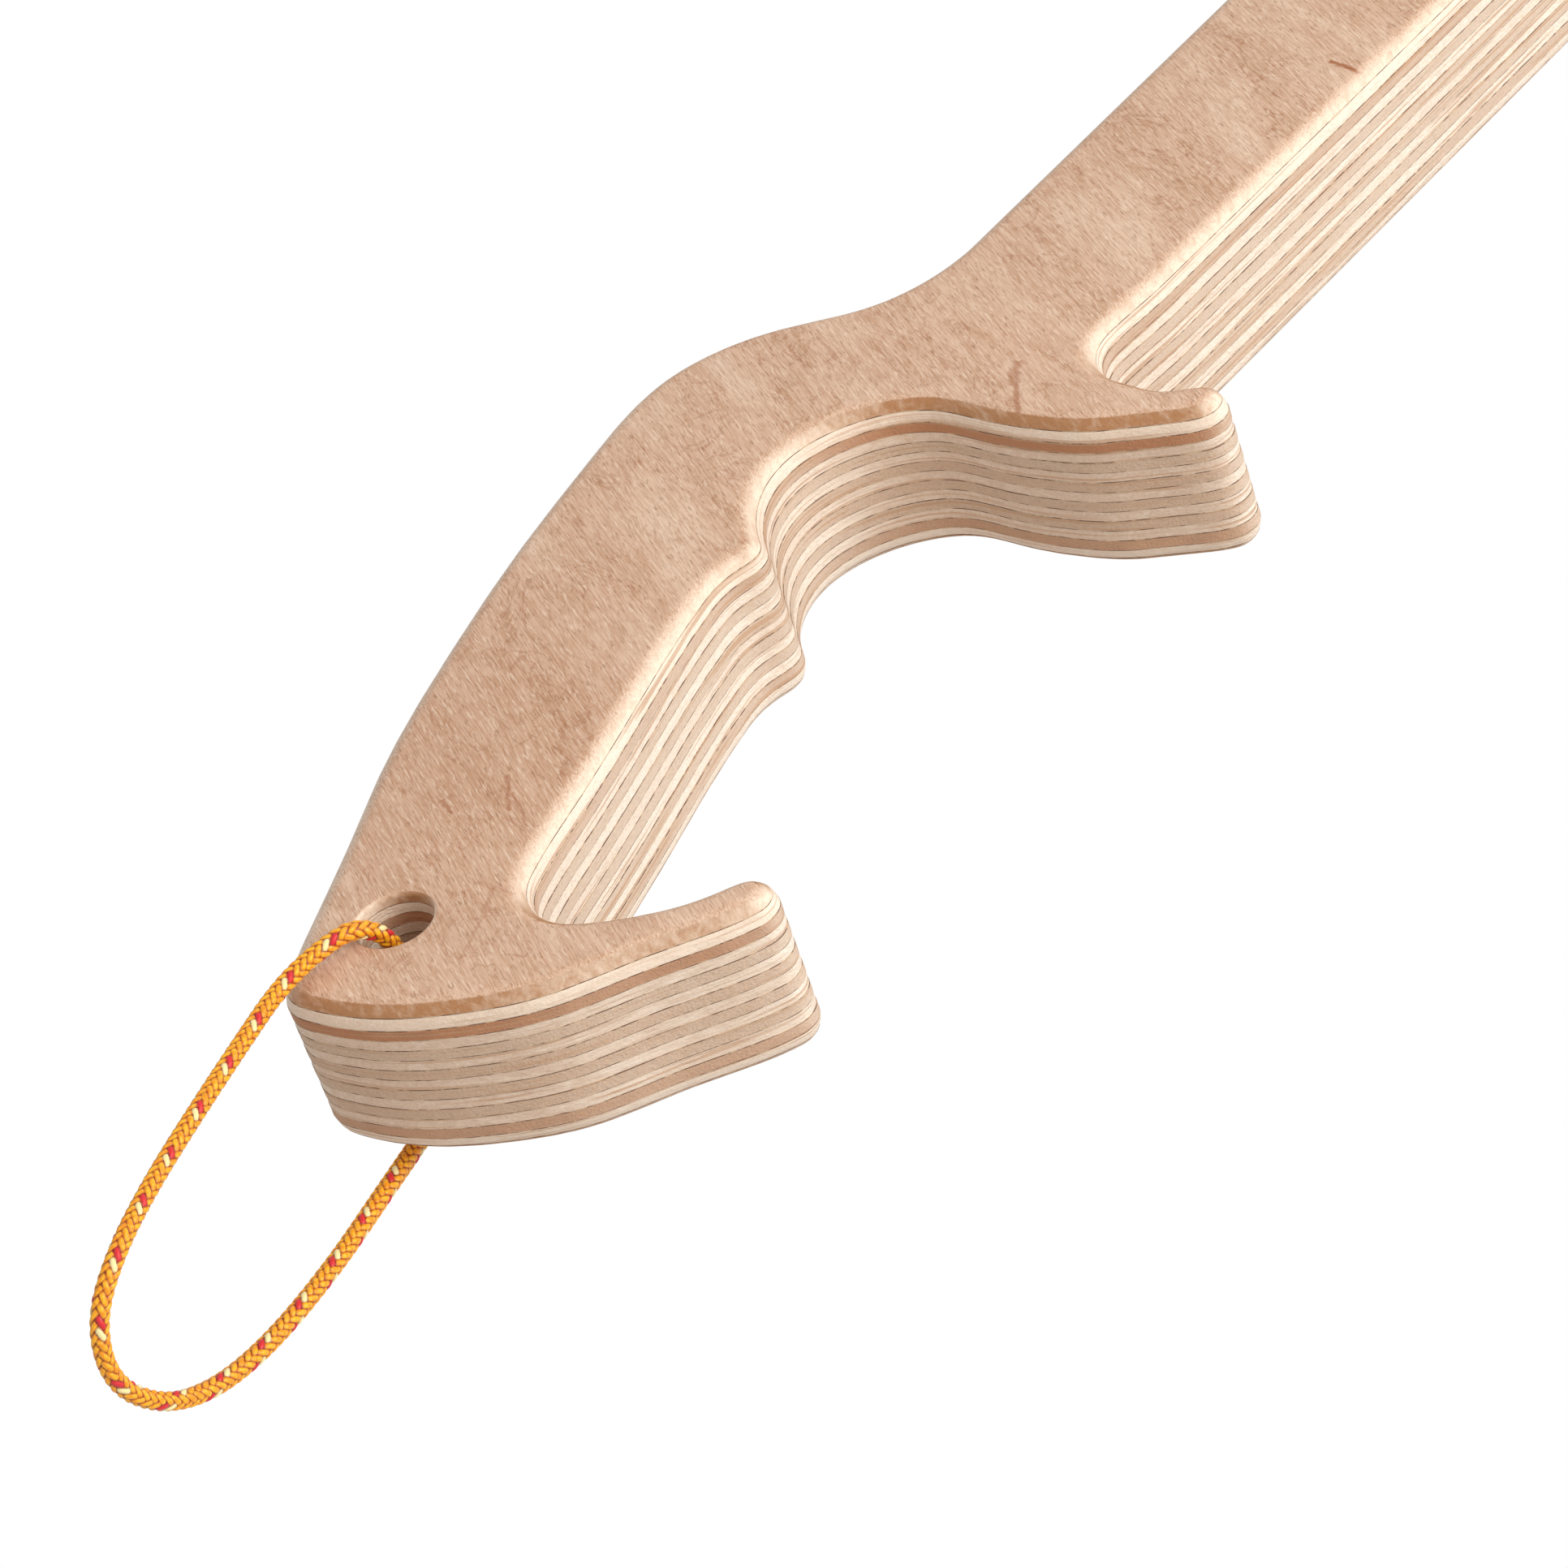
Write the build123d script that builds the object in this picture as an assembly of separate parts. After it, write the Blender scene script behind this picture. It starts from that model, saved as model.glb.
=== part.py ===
from build123d import *

import math
import os

# A wooden dry-tooling axe for indoor training: one blank routed from a sheet of birch plywood,
# with a pommel hook, a finger nub and an upper hook round the grip, a straight shaft and a beak,
# and a loop of thin braided cord through a hole in the pommel.
#
# Frame: the origin is the middle of the hand's span, at mid-thickness. +Z runs up the grip,
# +X points to the fingers and the beak, and Y crosses the board. Millimetres throughout.

# Sheet
BOARD_THICKNESS = 21.0
PLY_COUNT = 15
SHEET = 1500.0
GLUE_FILM = 0.1
EDGE_ROUND = 3.0

# Grip, between the pommel's ledge and the underside of the upper hook
GRIP_SPAN = 91.3
GRIP_WIDTH = 28.8
BELLY_SWELL = 0.9
NUB_HEIGHT = 18.6
NUB_PROUD = 3.0
NUB_RADIUS = 3.5

# Pommel hook
POMMEL_REACH = 33.5
POMMEL_DEPTH = 18.4
POMMEL_TIP_RISE = 9.4
HEEL_RADIUS = 6.0
LEDGE_RADIUS = 7.9

# Upper hook
HOOK_REACH = 48.8
HOOK_TIP_RISE = 7.9
CREST_RADIUS = 7.6

# Tips of both hooks keep a rim wider than the rounded edge
TIP_RADIUS = EDGE_ROUND + 0.5

# Shaft
SHAFT_WIDTH = 30.2
SHAFT_WIDTH_TOP = 33.5
SHAFT_LEAN = 12.0
SHAFT_LENGTH = 262.0
SHOULDER_RISE = 16.0

# Head, a solid beak of the same board
BEAK_REACH = 122.0
BEAK_DROP = 52.0
BEAK_ROOT = 38.0
BEAK_TIP_RADIUS = 5.5
CROWN_RISE = 62.0

# Lanyard hole and cord
HOLE_DIAMETER = 9.0
HOLE_EDGE = 0.6
HOLE_FORWARD = 4.8
HOLE_BELOW_LEDGE = 3.45
CORD_DIAMETER = 2.2
CORD_GAP = 0.9
KNOT_WRAPS = 4
KNOT_PITCH = 1.9
KNOT_CLEARANCE = 0.3
KNOT_BEHIND = 1.8

# Levels and columns that the outline hangs on
ledge = -GRIP_SPAN / 2
brow = GRIP_SPAN / 2
back = -GRIP_WIDTH / 2
front = GRIP_WIDTH / 2
half_board = BOARD_THICKNESS / 2
hole = (HOLE_FORWARD, ledge - HOLE_BELOW_LEDGE)


def heading(degrees):
    """The unit vector that points the given way in the board's plane."""
    turn = math.radians(degrees)
    return (math.cos(turn), math.sin(turn))


def cap(centre, radius, start, sweep):
    """An arc about a centre that starts at a heading, so its ends have known tangents."""
    side = 1 if sweep > 0 else -1
    return CenterArc(centre, radius, start - 90 * side, sweep)


def sweep_through(before, after, *between):
    """A smooth stretch that leaves one edge and joins the next along their tangents."""
    return Spline(
        before @ 1, *between, after @ 0,
        tangents=(before % 1, after % 0), tangent_scalars=(1, 1))


# ---- Outline of the blank, in the board's plane, drawn anticlockwise from the head down the spine ----

lean = heading(90 - SHAFT_LEAN)
across = heading(-SHAFT_LEAN)
spine_foot = (front + 1.9, brow + SHOULDER_RISE + 17.5)


def on_shaft(along, over):
    """A point measured up the shaft and across it from the foot of its spine."""
    return (
        spine_foot[0] + along * lean[0] + over * across[0],
        spine_foot[1] + along * lean[1] + over * across[1],
    )


def blank_outline():
    # Round stretches: the heel, the ledge and crest corners, the nub and the two hooks' tips
    heel = cap((back + 15.6, ledge - POMMEL_DEPTH + HEEL_RADIUS + 0.6), HEEL_RADIUS, 285, 65)
    pommel_tip = cap(
        (front + POMMEL_REACH - TIP_RADIUS, ledge + POMMEL_TIP_RISE - TIP_RADIUS),
        TIP_RADIUS, 52, 172)
    ledge_corner = cap((front + 10.5, ledge + LEDGE_RADIUS), LEDGE_RADIUS, 190, -92)
    nub = cap((front + NUB_PROUD - NUB_RADIUS, NUB_HEIGHT), NUB_RADIUS, 55, 75)
    hook_tip = cap(
        (front + HOOK_REACH - TIP_RADIUS, brow + HOOK_TIP_RISE - TIP_RADIUS),
        TIP_RADIUS, 28, 164)
    crest_corner = cap((front + 36.0, brow + 15.6), CREST_RADIUS, 168, -SHAFT_LEAN - 78)

    # The shaft's two straight edges, and the head that closes them
    spine = Line(on_shaft(SHAFT_LENGTH, 0), on_shaft(0, 0))
    finger_side = Line(on_shaft(0, SHAFT_WIDTH), on_shaft(SHAFT_LENGTH - 22, SHAFT_WIDTH_TOP))
    throat = on_shaft(SHAFT_LENGTH + CROWN_RISE - BEAK_ROOT, SHAFT_WIDTH_TOP + 32)
    tip_centre = on_shaft(
        SHAFT_LENGTH + CROWN_RISE - BEAK_DROP, SHAFT_WIDTH_TOP + BEAK_REACH - BEAK_TIP_RADIUS)
    beak_tip = CenterArc(tip_centre, BEAK_TIP_RADIUS, -140 - SHAFT_LEAN, 185)
    beak_under = Spline(
        finger_side @ 1, throat, beak_tip @ 0,
        tangents=(finger_side % 1, beak_tip % 0), tangent_scalars=(1, 1))
    crown = Spline(
        beak_tip @ 1,
        on_shaft(SHAFT_LENGTH + CROWN_RISE - 11, SHAFT_WIDTH_TOP + 62),
        on_shaft(SHAFT_LENGTH + CROWN_RISE, SHAFT_WIDTH_TOP + 8),
        on_shaft(SHAFT_LENGTH + CROWN_RISE - 18, 9),
        spine @ 0,
        tangents=(beak_tip % 1, spine % 0), tangent_scalars=(1, 1))

    # Gentle stretches between the arcs
    back_edge = sweep_through(
        spine, heel,
        (front - 5.6, brow + SHOULDER_RISE + 5.2),
        (back + 13.0, brow + SHOULDER_RISE),
        (back + 2.2, brow + 4.9),
        (back - 0.4, brow - 10.9),
        (back - BELLY_SWELL, 16.5),
        (back, -3.4),
        (back + 2.4, ledge + 21.5),
        (back + 5.8, ledge + 6.1))
    pommel_foot = sweep_through(
        heel, pommel_tip,
        (front - 6.2, ledge - POMMEL_DEPTH),
        (front + 5.8, ledge - POMMEL_DEPTH + 2.4),
        (front + 14.4, ledge - POMMEL_DEPTH + 6.4),
        (front + 22.6, ledge - 4.9))
    pommel_top = sweep_through(
        pommel_tip, ledge_corner,
        (front + 24.2, ledge + 5.3), (front + 18.6, ledge + 2.2))
    palm = sweep_through(
        ledge_corner, nub,
        (front + 2.0, ledge + 19.8), (front + 0.8, -6.4),
        (front + 0.2, NUB_HEIGHT - 10.2), (front + 0.6, NUB_HEIGHT - 5.8))
    index_rest = sweep_through(
        nub, hook_tip,
        (front - 2.4, brow - 14.1), (front - 1.7, brow - 8.5), (front + 0.8, brow - 4.4),
        (front + 5.5, brow - 0.8), (front + 11.3, brow + 0.8), (front + 19.5, brow - 0.8),
        (front + 28.1, brow - 2.1), (front + 34.7, brow - 2.0), (front + 40.5, brow - 0.6))
    hook_top = sweep_through(hook_tip, crest_corner, (front + 40.4, brow + 6.7))
    crest = sweep_through(crest_corner, finger_side)
    return [spine, back_edge, heel, pommel_foot, pommel_tip, pommel_top, ledge_corner, palm, nub,
            index_rest, hook_tip, hook_top, crest_corner, crest, finger_side, beak_under,
            beak_tip, crown]


# ---- Solids ----

def blank():
    """The routed blank: the outline through the whole board, its rims rounded, the hole bored."""
    sketch = Plane.XZ * make_face(Wire(blank_outline()))
    board = extrude(sketch, amount=half_board, both=True)
    rims = board.faces().sort_by(Axis.Y)
    board = fillet(rims[0].outer_wire().edges() + rims[-1].outer_wire().edges(), EDGE_ROUND)
    bore = Plane.XZ.offset(-half_board) * Location((hole[0], hole[1], 0)) * Cylinder(
        HOLE_DIAMETER / 2, BOARD_THICKNESS * 2)
    board = board - bore
    mouths = board.edges().filter_by(GeomType.CIRCLE).filter_by(
        lambda edge: abs(edge.radius - HOLE_DIAMETER / 2) < 1e-3)
    return fillet(mouths, HOLE_EDGE)


def slab(level, thickness):
    """A layer across the whole board, wider than any blank."""
    return Location((0, level + thickness / 2, 0)) * Box(SHEET, thickness, SHEET)


def slices(board):
    """The board cut into its plies and the glue films between them, from -Y to +Y."""
    ply = (BOARD_THICKNESS - (PLY_COUNT - 1) * GLUE_FILM) / PLY_COUNT
    plies, films = [], []
    level = -half_board
    for index in range(PLY_COUNT):
        plies.append(board & slab(level, ply))
        level += ply
        if index < PLY_COUNT - 1:
            films.append(board & slab(level, GLUE_FILM))
            level += GLUE_FILM
    return plies, films


# ---- Lanyard ----

knot_core = CORD_DIAMETER * 0.85
knot_wrap_radius = CORD_DIAMETER
knot_radius = knot_wrap_radius + CORD_DIAMETER / 2
knot_half = KNOT_WRAPS * KNOT_PITCH / 2 + CORD_DIAMETER * 0.4
knot_sag = HOLE_DIAMETER / 2 - knot_radius - KNOT_CLEARANCE
run_out = half_board + CORD_DIAMETER / 2 + CORD_GAP


def knot():
    """A barrel knot lying in the hole: close wraps round a core, with a flat end for each strand."""
    profile = Rectangle(knot_core, knot_half * 2, align=(Align.MIN, Align.CENTER))
    for turn in range(KNOT_WRAPS):
        along = (turn - (KNOT_WRAPS - 1) / 2) * KNOT_PITCH
        profile += Pos(knot_wrap_radius, along) * Circle(CORD_DIAMETER / 2)
    return Pos(hole[0], KNOT_BEHIND, hole[1] - knot_sag) * revolve(profile, Axis.Y)


def cord_route():
    """The loop's route: out of the front mouth, down the face, round, and up into the back mouth.

    Places are measured from the hole's axis, and across the board from its two faces.
    """
    places = [
        (0.0, KNOT_BEHIND - knot_half, -knot_sag),
        (0.0, -run_out + 4.1, -knot_sag),
        (-1.6, -run_out - 0.4, -4.0),
        (-4.3, -run_out - 0.2, -8.1),
        (-5.9, -run_out - 0.1, -14.5),
        (-5.4, -run_out - 0.3, -23.5),
        (-5.0, -run_out - 0.2, -33.5),
        (-4.4, -run_out + 0.1, -45.5),
        (-3.4, -run_out + 0.9, -55.4),
        (-3.9, -run_out + 5.1, -61.4),
        (-3.6, -0.4, -63.1),
        (-2.2, run_out - 6.3, -59.2),
        (-1.2, run_out - 2.1, -52.2),
        (0.1, run_out - 0.5, -43.0),
        (0.8, run_out, -30.5),
        (0.3, run_out + 0.4, -18.0),
        (-0.3, run_out + 1.1, -8.4),
        (0.0, run_out - 0.1, -knot_sag),
        (0.0, KNOT_BEHIND + knot_half, -knot_sag),
    ]
    return [Vector(hole[0] + x, y, hole[1] + z) for x, y, z in places]


def cord():
    """The cord as a tube: straight runs joined by arcs as large as their runs allow."""
    route = cord_route()
    radii = []
    for before, here, after in zip(route, route[1:], route[2:]):
        run = min((here - before).length, (after - here).length)
        turn = math.radians((here - before).get_angle(after - here))
        radii.append(0.45 * run / math.tan(turn / 2))
    path = FilletPolyline(*route, radius=radii)
    section = Plane(path @ 0, z_dir=path % 0) * Circle(CORD_DIAMETER / 2)
    print("cord radii", [round(radius, 1) for radius in radii])
    print("cord length", round(path.length, 1))
    return sweep(section, path), path.length


def write(node, shape):
    shape.label = node
    export_step(shape, os.path.join("parts", node + ".step"))


def main():
    os.makedirs("parts", exist_ok=True)
    plies, films = slices(blank())
    for index, ply in enumerate(plies, 1):
        write(f"ply_{index:02d}", ply)
    write("glue_films", Compound(children=[film.solid() for film in films]))
    tube, length = cord()
    section_area = math.pi * CORD_DIAMETER ** 2 / 4
    print("cord volume over section times length", round(tube.volume / section_area / length, 4))
    write("lanyard_cord", tube)
    write("lanyard_knot", knot())


main()
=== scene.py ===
import math

import bpy
import numpy as np
from mathutils import Matrix, Vector
from mathutils.geometry import tessellate_polygon


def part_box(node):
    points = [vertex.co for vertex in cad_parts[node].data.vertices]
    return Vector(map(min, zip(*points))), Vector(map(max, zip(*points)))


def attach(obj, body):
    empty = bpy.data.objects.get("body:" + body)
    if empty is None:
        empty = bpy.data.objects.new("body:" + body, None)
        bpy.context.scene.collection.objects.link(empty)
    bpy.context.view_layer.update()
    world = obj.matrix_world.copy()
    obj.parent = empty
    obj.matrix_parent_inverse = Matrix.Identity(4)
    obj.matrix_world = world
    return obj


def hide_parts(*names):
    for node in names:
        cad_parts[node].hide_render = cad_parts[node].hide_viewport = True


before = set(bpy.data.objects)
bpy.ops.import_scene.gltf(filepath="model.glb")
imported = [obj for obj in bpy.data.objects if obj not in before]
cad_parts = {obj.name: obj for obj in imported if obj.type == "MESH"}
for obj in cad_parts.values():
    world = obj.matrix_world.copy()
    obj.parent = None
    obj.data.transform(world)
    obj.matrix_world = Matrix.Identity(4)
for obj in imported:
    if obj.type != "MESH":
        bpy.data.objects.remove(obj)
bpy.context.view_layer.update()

bl_info = {
    "name": "Plywood Training Axe",
    "version": (1, 0, 0),
    "blender": (4, 5, 0),
    "location": "3D View > Sidebar > Training Axe",
    "description": "Dresses a plywood training ice axe and its cord loop in routed, sanded birch and braid",
    "category": "Object",
}

MM = 0.001

# The veneers from the face that shows the hole's front mouth to the far face
PLIES = sorted(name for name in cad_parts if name.startswith("ply_"))
board_low, board_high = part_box(PLIES[0])[0][1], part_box(PLIES[-1])[1][1]
half_board = (board_high - board_low) / 2
middle_ply = PLIES[len(PLIES) // 2]

# The sheet is laid so that its fibres cross the tool at this turn from +X. Every other ply runs square to it
FIBRE_TURN = math.radians(-43.0)

# A layer thinner than this is a glue film
THIN = 0.3 * MM

# How each veneer's tone leaves the common one, from one face to the other: -1 is palest and 1 brownest
BROWN = (0.0, -0.45, 1.0, 0.05, 0.0, 0.0, 0.15, 0.1, 0.1, 0.0, 0.1, 0.0, 0.6, -0.4, 0.0)

# The lanyard's route in millimetres, measured from the hole's axis and from the board's middle plane
ROUTE = (
    (0.0, -2.88, -0.9),
    (0.0, -8.4, -0.9),
    (-1.6, -12.9, -4.0),
    (-4.3, -12.7, -8.1),
    (-5.9, -12.6, -14.5),
    (-5.4, -12.8, -23.5),
    (-5.0, -12.7, -33.5),
    (-4.4, -12.4, -45.5),
    (-3.4, -11.6, -55.4),
    (-3.9, -7.4, -61.4),
    (-3.6, -0.4, -63.1),
    (-2.2, 6.2, -59.2),
    (-1.2, 10.4, -52.2),
    (0.1, 12.0, -43.0),
    (0.8, 12.5, -30.5),
    (0.3, 12.9, -18.0),
    (-0.3, 13.6, -8.4),
    (0.0, 12.4, -0.9),
    (0.0, 6.48, -0.9),
)

# Stains and scratches on the faces, in millimetres of the board's plane: start, end, reach and strength
STAINS = (
    ((34.2, 55.5), (36.2, 50.4), 1.2, 0.55),
    ((36.2, 50.4), (38.9, 45.4), 0.7, 0.6),
    ((49.3, 118.0), (53.6, 115.8), 0.5, 0.9),
    ((5.7, -24.2), (9.6, -29.9), 0.45, 0.5),
    ((8.4, -27.0), (12.9, -31.6), 0.4, 0.4),
    ((0.4, -29.0), (2.7, -30.9), 0.5, 0.6),
    ((14.2, -42.4), (15.4, -46.8), 0.45, 0.35),
    ((15.4, -46.8), (16.4, -54.0), 0.45, 0.25),
)

# Levels across a ply: where its wall is straight, and where the round-over turns
WALL_ROWS = 5
ROUND_ROWS = 9

# Sizes of the cutter's pits, in rows and columns of a wall's points: single torn fibres and longer waves
FINE_PITS = (2, 3)
LONG_PITS = (9, 22)

# The braid's points: their spacing along the cord and their number round it, for the loop and for the knot
LOOP_STEP, LOOP_SIDES = 0.13 * MM, 48
KNOT_STEP, KNOT_SIDES = 0.22 * MM, 32

# The knot's wraps, and the points of the helix that they are drawn along
KNOT_TURNS = 4
KNOT_POINTS = 400

# The camera and the lights in metres, and the lens in millimetres
CAMERA_PLACE = (0.39208, -0.41038, -0.47349)
CAMERA_AIM = (0.04079, -0.0105, -0.02218)
CAMERA_UP = (-0.06424, -0.77122, 0.63332)
CAMERA_LENS = 147.48
KEY_PLACE, KEY_SIZE = (0.95, -0.55, 0.06), (0.7, 0.7)
FILL_PLACE, FILL_SIZE = (-0.35, -0.95, -0.1), (0.9, 0.9)
LIGHT_AIM = (0.02, 0, 0)
FLOOR_REACH = 3.0

# Where the white room is brightest, and how far its dim and bright sides leave the mean
BRIGHT_SIDE = (0.95, -0.1, 0.1)
DIM_SHARE, BRIGHT_SHARE = 0.6, 1.4


# ---- Properties ----


def colour(code):
    """An sRGB hex colour as linear red, green, blue and a full alpha."""
    parts = np.array([int(code[i:i + 2], 16) for i in (1, 3, 5)]) / 255
    linear = np.where(parts <= 0.04045, parts / 12.92, ((parts + 0.055) / 1.055) ** 2.4)
    return (*linear.tolist(), 1.0)


def size_of(name, description, millimetres, smallest=0.0):
    """A length that a user can change."""
    return bpy.props.FloatProperty(
        name=name, description=description, default=millimetres * MM, min=smallest * MM, precision=5,
        unit="LENGTH", subtype="DISTANCE")


def tint_of(name, description, code):
    """A colour that a user can change."""
    return bpy.props.FloatVectorProperty(
        name=name, description=description, default=colour(code), size=4, min=0.0, max=1.0, subtype="COLOR")


class BoardSettings(bpy.types.PropertyGroup):
    """Sizes and colours of the plywood"""

    edge_round: size_of("Edge round", "Radius of the hand-sanded round-over", 3.0, 0.5)
    hole_round: size_of("Hole round", "Radius that eases the hole's mouths", 0.6, 0.1)
    step: size_of("Step", "Spacing of the points along the outline", 0.6, 0.3)
    soften: size_of("Soften", "Reach of the smoothing along the outline", 0.7)
    tear: size_of("Tear", "Deepest pit that the cutter left in a ply's edge", 0.06)
    sink: size_of("Sink", "How far a soft ply is sanded below its neighbours", 0.05)
    face_shade: tint_of("Face shade", "Darkest cloud in the face veneer", "#C9A083")
    face_tan: tint_of("Face tan", "Common tone of the face veneer", "#D8B298")
    face_light: tint_of("Face light", "Palest cloud in the face veneer", "#E6C9B2")
    face_clean: tint_of("Face edge, clean", "Face veneer's edge, cut with its fibres", "#F5E3D1")
    face_torn: tint_of("Face edge, torn", "Face veneer's edge, cut against its fibres", "#B08059")
    long_clean: tint_of("Long ply, clean", "Long ply's edge, cut with its fibres", "#D8C5B4")
    long_torn: tint_of("Long ply, torn", "Long ply's edge, cut against its fibres", "#D0B49C")
    cross_clean: tint_of("Cross ply, clean", "Cross ply's edge, cut with its fibres", "#D9BFAA")
    cross_torn: tint_of("Cross ply, torn", "Cross ply's edge, cut against its fibres", "#F9EDE0")
    brown_ply: tint_of("Brown ply", "What a brown veneer is tinted with", "#B67F5C")
    pale_ply: tint_of("Pale ply", "What a pale veneer is tinted with", "#FBEBDA")
    glue_dark: tint_of("Glue", "Cured glue where it is bare", "#6E5240")
    glue_smeared: tint_of("Smeared glue", "Glue where wood dust is smeared over it", "#CDB396")


class CordSettings(bpy.types.PropertyGroup):
    """Sizes and colours of the lanyard"""

    diameter: size_of("Diameter", "Thickness over the braid", 2.2, 1.0)
    lay: size_of("Lay", "Length in which a strand goes once round the cord", 7.0, 2.0)
    strands: bpy.props.IntProperty(
        name="Strands", description="Strands that turn each way", default=6, min=4)
    relief: bpy.props.FloatProperty(
        name="Relief", description="Depth of the valleys between strands, as a share of the radius",
        default=0.3, min=0.0, max=0.5, subtype="FACTOR")
    gold_deep: tint_of("Deep gold", "Darkest of the golden yarn", "#F09306")
    gold_bright: tint_of("Bright gold", "Brightest of the golden yarn", "#FFBC1C")
    red_tracer: tint_of("Red tracer", "Strand of the first tracer", "#D8252E")
    cream_tracer: tint_of("Cream tracer", "Strand of the second tracer", "#F6E6A8")
    # Painted shade: this colour darkens the yarn in the valleys between strands, where shade falls.
    painted_valley_shade: tint_of("Valley shade", "What darkens the yarn between two strands", "#96480B")


class StageSettings(bpy.types.PropertyGroup):
    """Floor and lights round the axe"""

    floor_drop: size_of("Floor drop", "Height of the floor below the grip's middle", 750.0)
    key_power: bpy.props.FloatProperty(
        name="Key power", description="Power of the large side light", default=8.8, min=0.0, subtype="POWER")
    fill_power: bpy.props.FloatProperty(
        name="Fill power", description="Power of the light behind the camera", default=0.3, min=0.0,
        subtype="POWER")
    room_light: bpy.props.FloatProperty(
        name="Room light", description="Mean brightness of the white room", default=0.6, min=0.0)
    floor_tint: tint_of("Floor", "Colour of the paper floor", "#F7F7F6")
    key_tint: tint_of("Key tint", "Colour of the large side light", "#FFF6EA")
    fill_tint: tint_of("Fill tint", "Colour of the light behind the camera", "#F4F7FF")


# ---- Materials ----


def add(tree, kind, settings=None, out=0):
    """Adds a node and gives back the output with that number or name.

    A setting is named after one of the node's own properties, or after an input by number or name. A socket
    is linked to its input, and a hex colour or another value is set on it. Stops are a ramp's places, each
    with a grey level or a colour.
    """
    node = tree.nodes.new("ShaderNode" + kind)
    for name, value in (settings or {}).items():
        if name == "stops":
            node.color_ramp.interpolation = "EASE"
            marks = node.color_ramp.elements
            while len(marks) < len(value):
                marks.new(1.0)
            for mark, (place, tint) in zip(marks, value):
                mark.position = place
                mark.color = (tint, tint, tint, 1.0) if isinstance(tint, (int, float)) else tint
        elif not isinstance(name, int) and name not in node.inputs:
            setattr(node, name, value)
        elif isinstance(value, bpy.types.NodeSocket):
            tree.links.new(value, node.inputs[name])
        else:
            node.inputs[name].default_value = colour(value) if isinstance(value, str) else value
    return node.outputs[out] if len(node.outputs) else node


def new_material(name, surface):
    """A node material and its tree, after surface has filled the tree and given the shader's inputs."""
    material = bpy.data.materials.new(name)
    material.use_nodes = True
    tree = material.node_tree
    tree.nodes.clear()
    add(tree, "OutputMaterial", {"Surface": add(tree, "BsdfPrincipled", surface(tree))})
    return material


def fibre_space(tree, turn):
    """Object coordinates in millimetres with X along a ply's fibres and Y through the board."""
    place = add(tree, "TexCoord", out="Object")
    return add(tree, "Mapping", {"Vector": place, "Scale": (1 / MM,) * 3, "Rotation": (0, turn, 0)})


def streaks(tree, space, length, width, detail=2.0, rough=0.5, bend=0.0, shift=0.0):
    """Noise drawn out along the fibres: its patches are about length by width, in millimetres."""
    laid = add(tree, "Mapping", {
        "Vector": space, "Scale": (1 / length, 1 / width, 1 / width),
        "Location": (shift, shift * 0.7, shift * 1.3)})
    return add(tree, "TexNoise", {
        "Vector": laid, "Scale": 1.0, "Detail": detail, "Roughness": rough, "Distortion": bend})


def near_line(tree, space, start, end, reach):
    """1 on a straight line between two points of the board, in millimetres, and 0 beyond the reach."""
    run = np.subtract(end, start)
    laid = add(tree, "Mapping", {
        "vector_type": "TEXTURE", "Vector": space, "Location": (start[0], 0, start[1]),
        "Rotation": (0, -math.atan2(run[1], run[0]), 0), "Scale": (float(np.hypot(*run)), 1000, reach)})
    parts = add(tree, "SeparateXYZ", {0: laid}).node.outputs
    along = add(tree, "Math", {"operation": "SUBTRACT", 0: parts["X"], 1: 0.5})
    along = add(tree, "Math", {"operation": "ABSOLUTE", 0: along})
    inside = add(tree, "Math", {"operation": "LESS_THAN", 0: along, 1: 0.5})
    off = add(tree, "Math", {"operation": "ABSOLUTE", 0: parts["Z"]})
    fade = add(tree, "MapRange", {"interpolation_type": "SMOOTHSTEP", 0: off, 1: 0.15, 2: 1, 3: 1, 4: 0})
    return add(tree, "Math", {"operation": "MULTIPLY", 0: fade, 1: inside})


def stained(tree, tone, plane):
    """The tone with its stains and scratches, each a straight mark in a space that wanders a little."""
    wobble = add(tree, "TexNoise", {"Vector": plane, "Scale": 0.35, "Detail": 3.0}, "Color")
    wander = add(tree, "VectorMath", {"operation": "MULTIPLY_ADD", 0: wobble, 1: (2.4, 0, 2.4), 2: plane})
    wander = add(tree, "VectorMath", {"operation": "SUBTRACT", 0: wander, 1: (1.2, 0, 1.2)})
    for start, end, reach, strength in STAINS:
        mark = add(tree, "Math", {
            "operation": "MULTIPLY", 0: near_line(tree, wander, start, end, reach), 1: strength})
        tone = add(tree, "Mix", {"data_type": "RGBA", 0: mark, 6: tone, 7: "#A4643C"}, 2)
    return tone


def cut_edge(tree, space, lean, clean, torn):
    """The colour of a ply's cut edge: clean where the cutter ran with the fibres, and torn against them."""
    patch = streaks(tree, space, 5, 1.0, detail=3.0, rough=0.6, bend=0.4, shift=12.0)
    share = add(tree, "Math", {"operation": "SUBTRACT", 0: patch, 1: 0.5})
    share = add(tree, "Math", {"operation": "MULTIPLY_ADD", 0: share, 1: 1.1, 2: 0.5})
    share = add(tree, "Math", {"operation": "MULTIPLY_ADD", 0: lean, 1: 0.5, 2: share})
    share = add(tree, "Clamp", {0: share})
    base = add(tree, "Mix", {"data_type": "RGBA", 0: share, 6: torn, 7: clean}, 2)
    grain = streaks(tree, space, 5, 0.3, detail=3.0, rough=0.65, shift=2.0)
    grain = add(tree, "ValToRGB", {0: grain, "stops": ((0.34, (0.80, 0.75, 0.70, 1.0)), (0.56, 1))})
    return add(tree, "Mix", {"data_type": "RGBA", "blend_type": "MULTIPLY", 0: 0.5, 6: base, 7: grain}, 2)


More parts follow.
